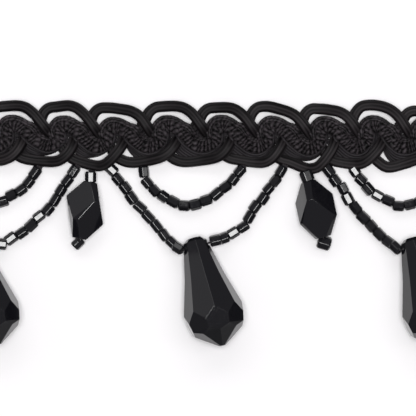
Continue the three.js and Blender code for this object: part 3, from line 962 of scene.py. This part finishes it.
def addSwag(index, swag, middle, lean, tools):
    before, after = (teardropRings[1][1] + clear for clear in teardrop["clear"])
    across = np.array([math.cos(lean), math.sin(lean), 0])
    centre = np.array(middle)
    inside = [centre - across * before, centre, centre + across * after]
    route = routeThrough([*onSurface(swag["left"]), *inside, *onSurface(swag["right"])])
    lengths = lengthsOf(route)
    entry = len(swag["left"])
    start, end = lengths[entry * rowSteps], lengths[(entry + 2) * rowSteps]
    left, right = swag["beads"]
    runs = [(0, start, left), (end, -1, right)]
    addString(f"swagString{index + 1}", route, runs, f"swag_strand_{index + 1}", tools)


# Skew-cut small drops
smallDrop = {
    "length": 11.6, "hole": 0.5, "depth": 0.85, "shave": 0.3, "knot": 2.7, "stem": 0.05, "edge": 0.1,
    "stopAt": 12.65, "stopReach": 0.4, "tail": 0.9, "raised": 0.2,
}
smallDropRings = [  # from the top, radius, turn, half the width of each cut-off corner in degrees
    (-0.02, 1.55, 0, 30), (0.3, 4.35, 0, 8), (0.67, 4.25, 50, 8), (1, 1.65, 0, 30),
]
smallDrops = [  # wide: girth of the bead above; stop: girth, length and turn of the bead below
    dict(zip(("top", "from", "lean", "turn", "wide", "stop"), row))
    for row in (
        ((-64.8, 9.6), (-65.1, 6.85), 8, 104, 1.1, (1.1, 2.6, -60)),
        ((-22.1, 9.45), (-21.9, 7.0), -11.5, 180, 1.02, (1.02, 2.3, -40)),
        ((22.5, 9.35), (21.5, 7.0), 15.1, 100, 1.18, (1.25, 2.7, 60)),
        ((64.6, 9.7), (64.7, 6.9), -9, 182, 1.05, (1.05, 2.4, -50)),
    )
]


def skewCutPoints(turn):
    points = []
    for at, radius, ringTurn, spread in smallDropRings:
        for k in range(6):
            angle = math.radians(turn + ringTurn + k // 2 * 120 + (k % 2 * 2 - 1) * spread)
            high = math.sin(angle) * radius * smallDrop["depth"]
            points.append((math.cos(angle) * radius, -at * smallDrop["length"], high))
    return points


def addSmallDrops(tools):
    for index, drop in enumerate(smallDrops):
        points = skewCutPoints(drop["turn"])
        lowest = min(point[2] for point in points)
        along, down = drop["top"]
        lying = Matrix.Translation((along, midlineUp - down, -lowest - smallDrop["shave"]))
        lying = lying @ Matrix.Rotation(math.radians(drop["lean"]), 4, "Z")
        soft = bmesh.new()
        for point in points:
            soft.verts.new(point)
        bmesh.ops.convex_hull(soft, input=soft.verts)
        soft.transform(lying)
        middle = lying @ Vector((0, -smallDrop["length"] / 2, 0))
        turned = Matrix.Rotation(math.radians(drop["lean"]), 4, "Z") @ Matrix.Rotation(math.pi / 2, 4, "X")
        placing = Matrix.Translation(middle * mm) @ turned
        bore = boreTool(smallDrop["hole"], smallDrop["length"] * 2, placing)
        name = f"smallDrop{index + 1}"
        mesh = polished(name, soft, bore, tools["acrylic"], smallDrop["edge"])
        addPiece(name, mesh, [f"small_drop_{index + 1}"])
        addDropString(index, drop, lying, tools)
    print("small drops hung")


def addDropString(index, drop, lying, tools):
    length, stop, reach = smallDrop["length"], smallDrop["stopAt"], smallDrop["stopReach"]
    stopWide, stopLength, stopTurn = drop["stop"]
    along, down = drop["from"]
    rows = [(along, midlineUp - down, smallDrop["knot"])]
    rows += [tuple(lying @ Vector((0, -at, 0))) for at in (-smallDrop["stem"], length / 2, length)]
    for at in (stop, stop + smallDrop["tail"]):
        x, y, _ = lying @ Vector((0, -at, 0))
        rows.append((x, y, seed["rest"] + smallDrop["raised"]))
    route = routeThrough(rows)
    lengths = lengthsOf(route)
    middle = lengths[4 * rowSteps]
    stretches = [
        {"from": seed["bare"], "to": lengths[rowSteps], "count": 1, "wide": drop["wide"]},
        {
            "from": middle - reach, "to": middle + reach, "count": 1, "wide": stopWide,
            "length": stopLength, "yaw": stopTurn,
        },
    ]
    name = f"dropString{index + 1}"
    beads = beadMesh(name, route, stretches, tools)
    thread = threadMesh(name + "Thread", route, tools)
    ends = wrapMeshes(name, route, tools)
    addPiece(name, joined(name, [thread, *ends]), [f"drop_strand_{index + 1}"])
    addPiece(name + "Beads", beads, [f"drop_strand_{index + 1}"])


# Materials
yarnTones = (0.2, 0.62)  # noise levels of a yarn's darkest and lightest tone


def newMaterial(name, settings):
    material = bpy.data.materials.new(name)
    material.use_nodes = True
    shader = material.node_tree.nodes["Principled BSDF"]
    for label, value in settings.items():
        shader.inputs[label].default_value = value
    return material, material.node_tree, shader


def addBump(tree, shader, height, values):
    inputs = {"Height": height, "Strength": values["bump"], "Distance": values["relief"] * mm}
    tree.links.new(addNode(tree, "ShaderNodeBump", inputs).outputs[0], shader.inputs["Normal"])


def noiseOf(tree, place, scale, detail):
    inputs = {"Vector": place, "Scale": scale, "Detail": detail}
    return addNode(tree, "ShaderNodeTexNoise", inputs).outputs[0]


def rampOf(tree, factor, dark, light, ends=(0, 1)):
    ramp = addNode(tree, "ShaderNodeValToRGB", {0: factor})
    for element, end, color in zip(ramp.color_ramp.elements, ends, (dark, light)):
        element.position = end
        element.color = (*color, 1)
    return ramp.outputs[0]


def filamentGroup():  # fine threads that lie along a cord, or across it as in a twist
    inputs = {"Rim": "Vector", "Run": "Float", "Fineness": "Float", "Stretch": "Float"}
    tree, given = newGroup("filament", "ShaderNodeTree", inputs, {"Height": "Float", "Tone": "Float"})
    x, y, _ = partsOf(tree, given["Rim"])
    place = vectorOf(tree, x, y, Amount(tree, given["Run"]) * Amount(tree, given["Stretch"]))
    fine = Amount(tree, noiseOf(tree, place, given["Fineness"], 2.0))
    broad = Amount(tree, noiseOf(tree, place, Amount(tree, given["Fineness"]) * 0.22, 2.0))
    addNode(tree, "NodeGroupOutput", {"Height": fine + broad * 0.8, "Tone": broad})
    return tree


def yarnMaterial(name, group, values, dark, light, settings):
    material, tree, shader = newMaterial(name, settings)
    marks = ("rim", "run", "shade")
    rim, run, shade = (addNode(tree, "ShaderNodeAttribute", attribute_name=mark).outputs for mark in marks)
    sizes = {"Fineness": values["fineness"], "Stretch": values["stretch"]}
    inputs = {"Rim": rim["Vector"], "Run": run["Fac"], **sizes}
    threads = addNode(tree, "ShaderNodeGroup", inputs, node_tree=group)
    # painted shade: the base colour darkens in the grooves of ribs and twists and stays lighter on their tops
    lit = Amount(tree, shade["Fac"]) * values["grooveShade"] + (1 - values["grooveShade"])
    color = rampOf(tree, Amount(tree, threads.outputs["Tone"]) * lit, dark, light, yarnTones)
    tree.links.new(color, shader.inputs["Base Color"])
    addBump(tree, shader, threads.outputs["Height"], values)
    return material


def polishGroup():  # moulded gloss: slow waves, fine scuffs
    inputs = dict.fromkeys(("Wave Scale", "Scuff Scale", "Smooth", "Scuffed"), "Float")
    tree, given = newGroup("polish", "ShaderNodeTree", inputs, {"Height": "Float", "Roughness": "Float"})
    place = addNode(tree, "ShaderNodeTexCoord").outputs["Object"]
    scuff = noiseOf(tree, place, given["Scuff Scale"], 3.0)
    limits = {"From Min": 0.4, "From Max": 0.75, "To Min": given["Smooth"], "To Max": given["Scuffed"]}
    rough = addNode(tree, "ShaderNodeMapRange", {"Value": scuff, **limits}).outputs[0]
    wave = noiseOf(tree, place, given["Wave Scale"], 1.0)
    addNode(tree, "NodeGroupOutput", {"Height": wave, "Roughness": rough})
    return tree


def glossMaterial(name, group, values, settings):
    material, tree, shader = newMaterial(name, settings)
    polish = addNode(tree, "ShaderNodeGroup", node_tree=group)
    for label, value in values.items():
        if label in polish.inputs:
            polish.inputs[label].default_value = value
    tree.links.new(polish.outputs["Roughness"], shader.inputs["Roughness"])
    addBump(tree, shader, polish.outputs["Height"], values)
    return material


def floorMaterial():  # white paper with painted shade where it is seen aslant, so the glossy facets that reflect it near the horizon show it dark
    material, tree, shader = newMaterial("paper", {"Roughness": 0.9, "Specular IOR Level": 0.0})
    place = addNode(tree, "ShaderNodeTexCoord").outputs["Object"]
    paper = rampOf(tree, noiseOf(tree, place, 60.0, 3.0), (0.93, 0.92, 0.93), (0.96, 0.95, 0.96))
    facing = addNode(tree, "ShaderNodeLayerWeight", {"Blend": 0.5}).outputs["Facing"]
    aslant = addNode(tree, "ShaderNodeMapRange", {"Value": facing, "From Min": 0.25, "From Max": 0.9})
    inputs = {0: aslant.outputs[0], 6: paper, 7: (0.12, 0.12, 0.12, 1)}
    paintedShadeAslant = addNode(tree, "ShaderNodeMix", inputs, data_type="RGBA", blend_type="MIX")
    tree.links.new(paintedShadeAslant.outputs[2], shader.inputs["Base Color"])
    return material


def addFloor():
    mesh = bpy.data.meshes.new("floor")
    half = 1.6  # metres
    corners = [(-half, -half, 0), (half, -half, 0), (half, half, 0), (-half, half, 0)]
    mesh.from_pydata(corners, [], [(0, 1, 2, 3)])
    mesh.materials.append(floorMaterial())
    floor = placed("floor", mesh)
    floor.location.z = -0.02 * mm  # clear of the faces that lie on it


addCamera()
addLights()
addRoom()
addFloor()
filament = filamentGroup()
polish = polishGroup()
# each yarn's groove value sets how strongly painted shade darkens its grooves
satinBlack = yarnMaterial(
    "satinBlack",
    filament,
    {"fineness": 5200.0, "stretch": 0.03, "bump": 0.8, "relief": 0.05, "grooveShade": 0.55},
    (0.003, 0.0026, 0.003),
    (0.028, 0.024, 0.026),
    {"Roughness": 0.5, "Specular IOR Level": 0.1},
)
twistedBlack = yarnMaterial(
    "twistedBlack",
    filament,
    {"fineness": 6500.0, "stretch": 0.6, "bump": 0.5, "relief": 0.04, "grooveShade": 0.72},
    (0.002, 0.0018, 0.002),
    (0.044, 0.037, 0.042),
    {"Roughness": 0.5, "Specular IOR Level": 0.15},
)
threadBlack = yarnMaterial(
    "threadBlack",
    filament,
    {"fineness": 9000.0, "stretch": 0.2, "bump": 0.4, "relief": 0.02, "grooveShade": 0.0},
    (0.005, 0.0045, 0.005),
    (0.024, 0.021, 0.024),
    {"Roughness": 0.55, "Specular IOR Level": 0.15},
)
glassBlack = glossMaterial(
    "glassBlack",
    polish,
    {"Wave Scale": 900, "Scuff Scale": 2500, "Smooth": 0.06, "Scuffed": 0.22, "bump": 0.12, "relief": 0.05},
    {"Base Color": (0.008, 0.008, 0.01, 1), "IOR": 1.45},
)
acrylicBlack = glossMaterial(
    "acrylicBlack",
    polish,
    {"Wave Scale": 260, "Scuff Scale": 3500, "Smooth": 0.03, "Scuffed": 0.1, "bump": 0.06, "relief": 0.06},
    {"Base Color": (0.006, 0.006, 0.008, 1), "IOR": 1.5},
)
tools = {
    "bead": seedBead(),
    "beadTree": beadTree(),
    "threadTree": threadTree(),
    "glass": glassBlack,
    "thread": threadBlack,
    "acrylic": acrylicBlack,
    "twisted": twistedBlack,
}
addSatinCords(satinBlack)
addScrolls(tools)
addKnots(tools)
addScallops(tools)
addTeardrops(tools)
addSmallDrops(tools)
bpy.data.objects.remove(tools["bead"])
